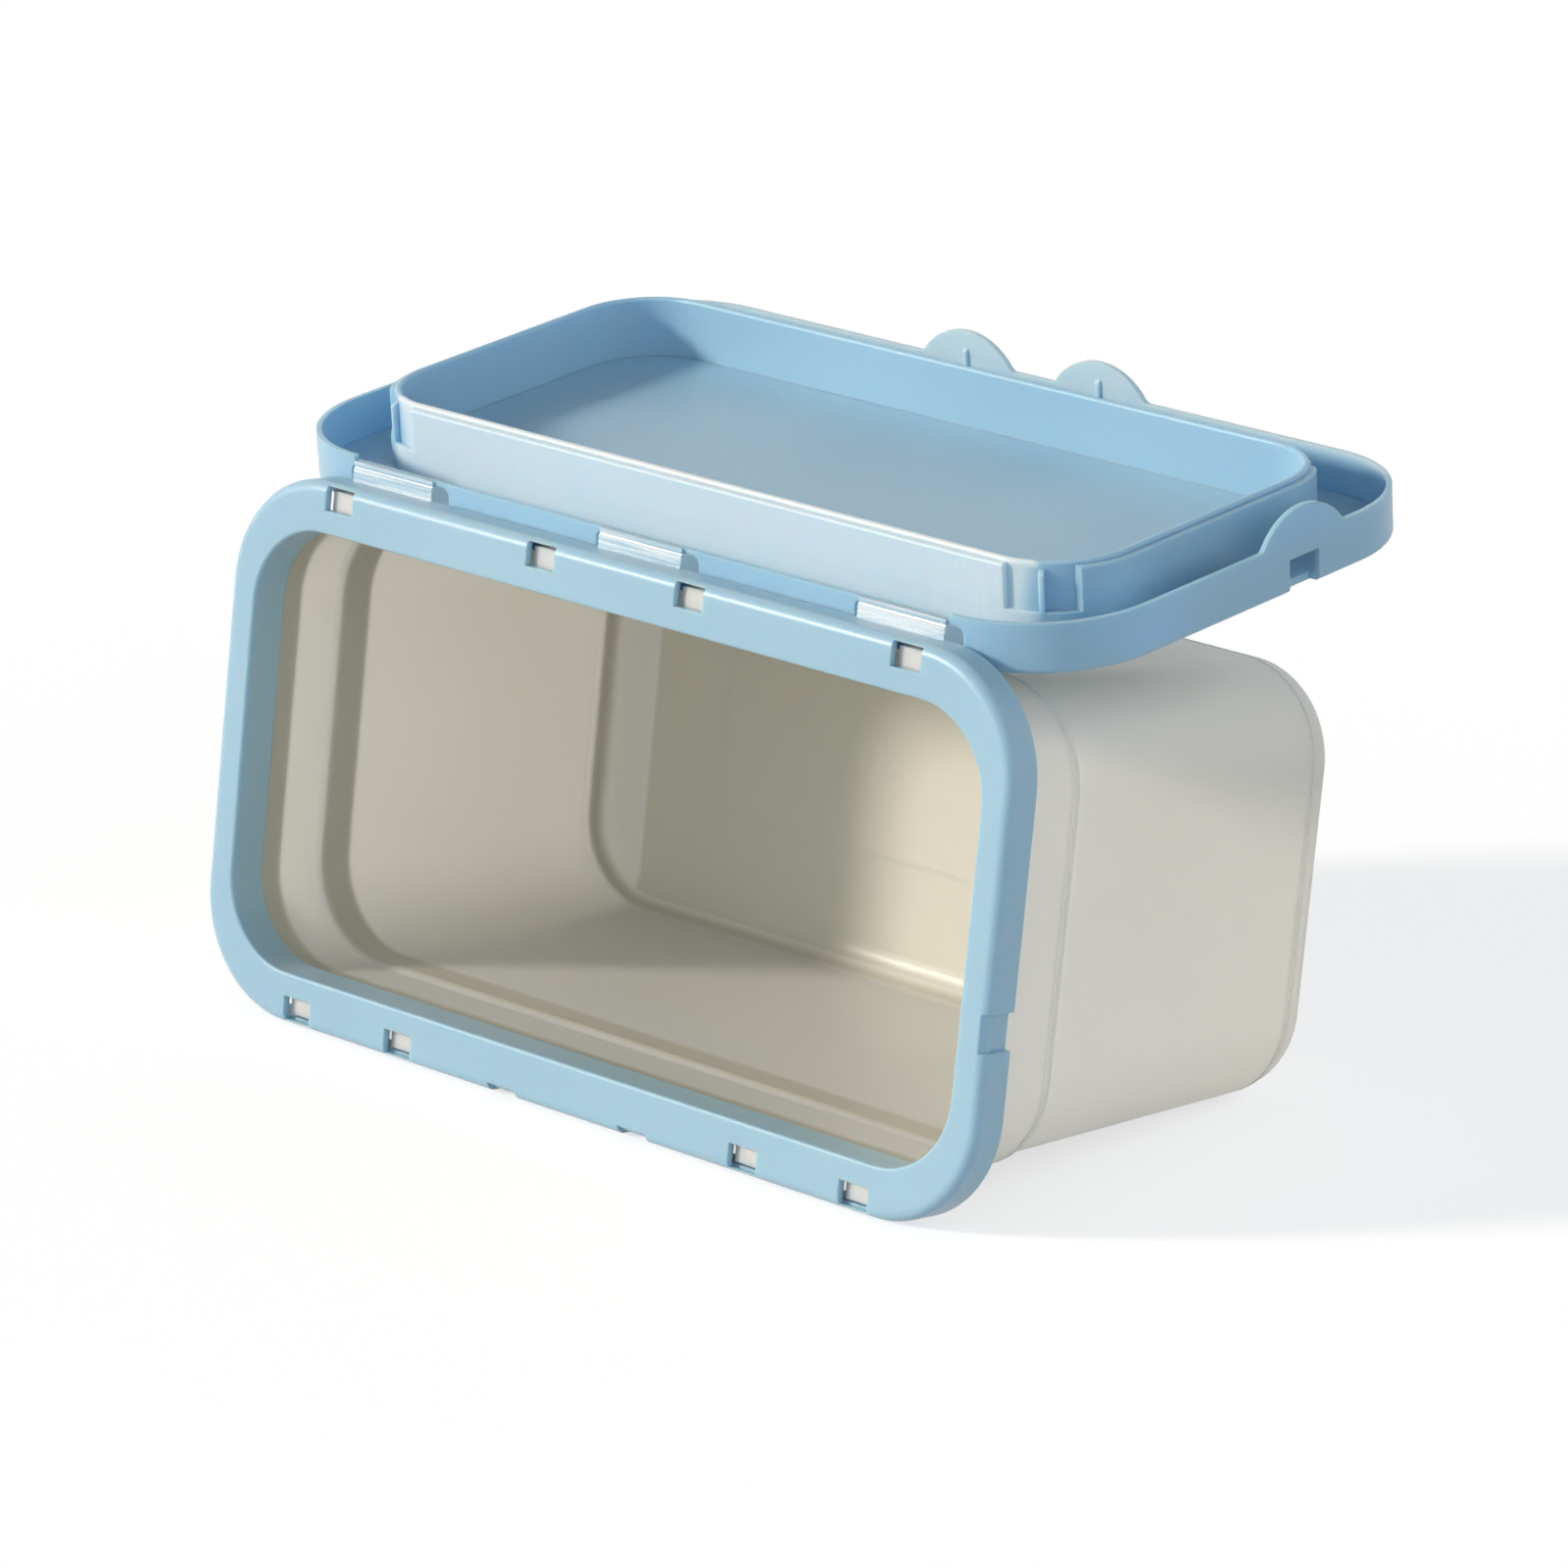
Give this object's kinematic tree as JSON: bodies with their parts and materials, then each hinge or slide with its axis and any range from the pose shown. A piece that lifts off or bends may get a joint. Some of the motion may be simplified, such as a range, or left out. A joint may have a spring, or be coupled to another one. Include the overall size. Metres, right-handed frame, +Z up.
{
  "type": "detergent storage box",
  "caption": "Rectangular storage box for laundry detergent: tapered white tub, clip-on light-blue rim frame and flap lid on film hinges, with round press tabs, lying open on its side.",
  "frame": {"origin": "middle of the bounding box at the floor that the box lies on", "axes": "+Z up, +X along the long side to the right seen from the mouth, mouth towards -Y and a little up"},
  "size_m": [0.2028, 0.1302, 0.126],
  "materials": {
    "tub_plastic": "satin white moulded polypropylene",
    "lid_plastic": "glossy light-blue moulded polypropylene",
    "film_plastic": "thin light-blue film, pale where it bends"
  },
  "bodies": {
    "box": {"tub": "tub_plastic", "rim_frame": "lid_plastic", "hinge_film_left": "film_plastic", "hinge_film_middle": "film_plastic", "hinge_film_right": "film_plastic"},
    "lid": {"lid": "lid_plastic"}
  },
  "joints": [
    {"name": "lid_hinge", "type": "hinge", "parent": "box", "child": "lid", "pos_m": [0, -0.04594, 0.10821], "axis": [1, 0, 0], "range_deg": [0, 258], "deforming": ["hinge_film_left", "hinge_film_middle", "hinge_film_right"]}
  ]
}
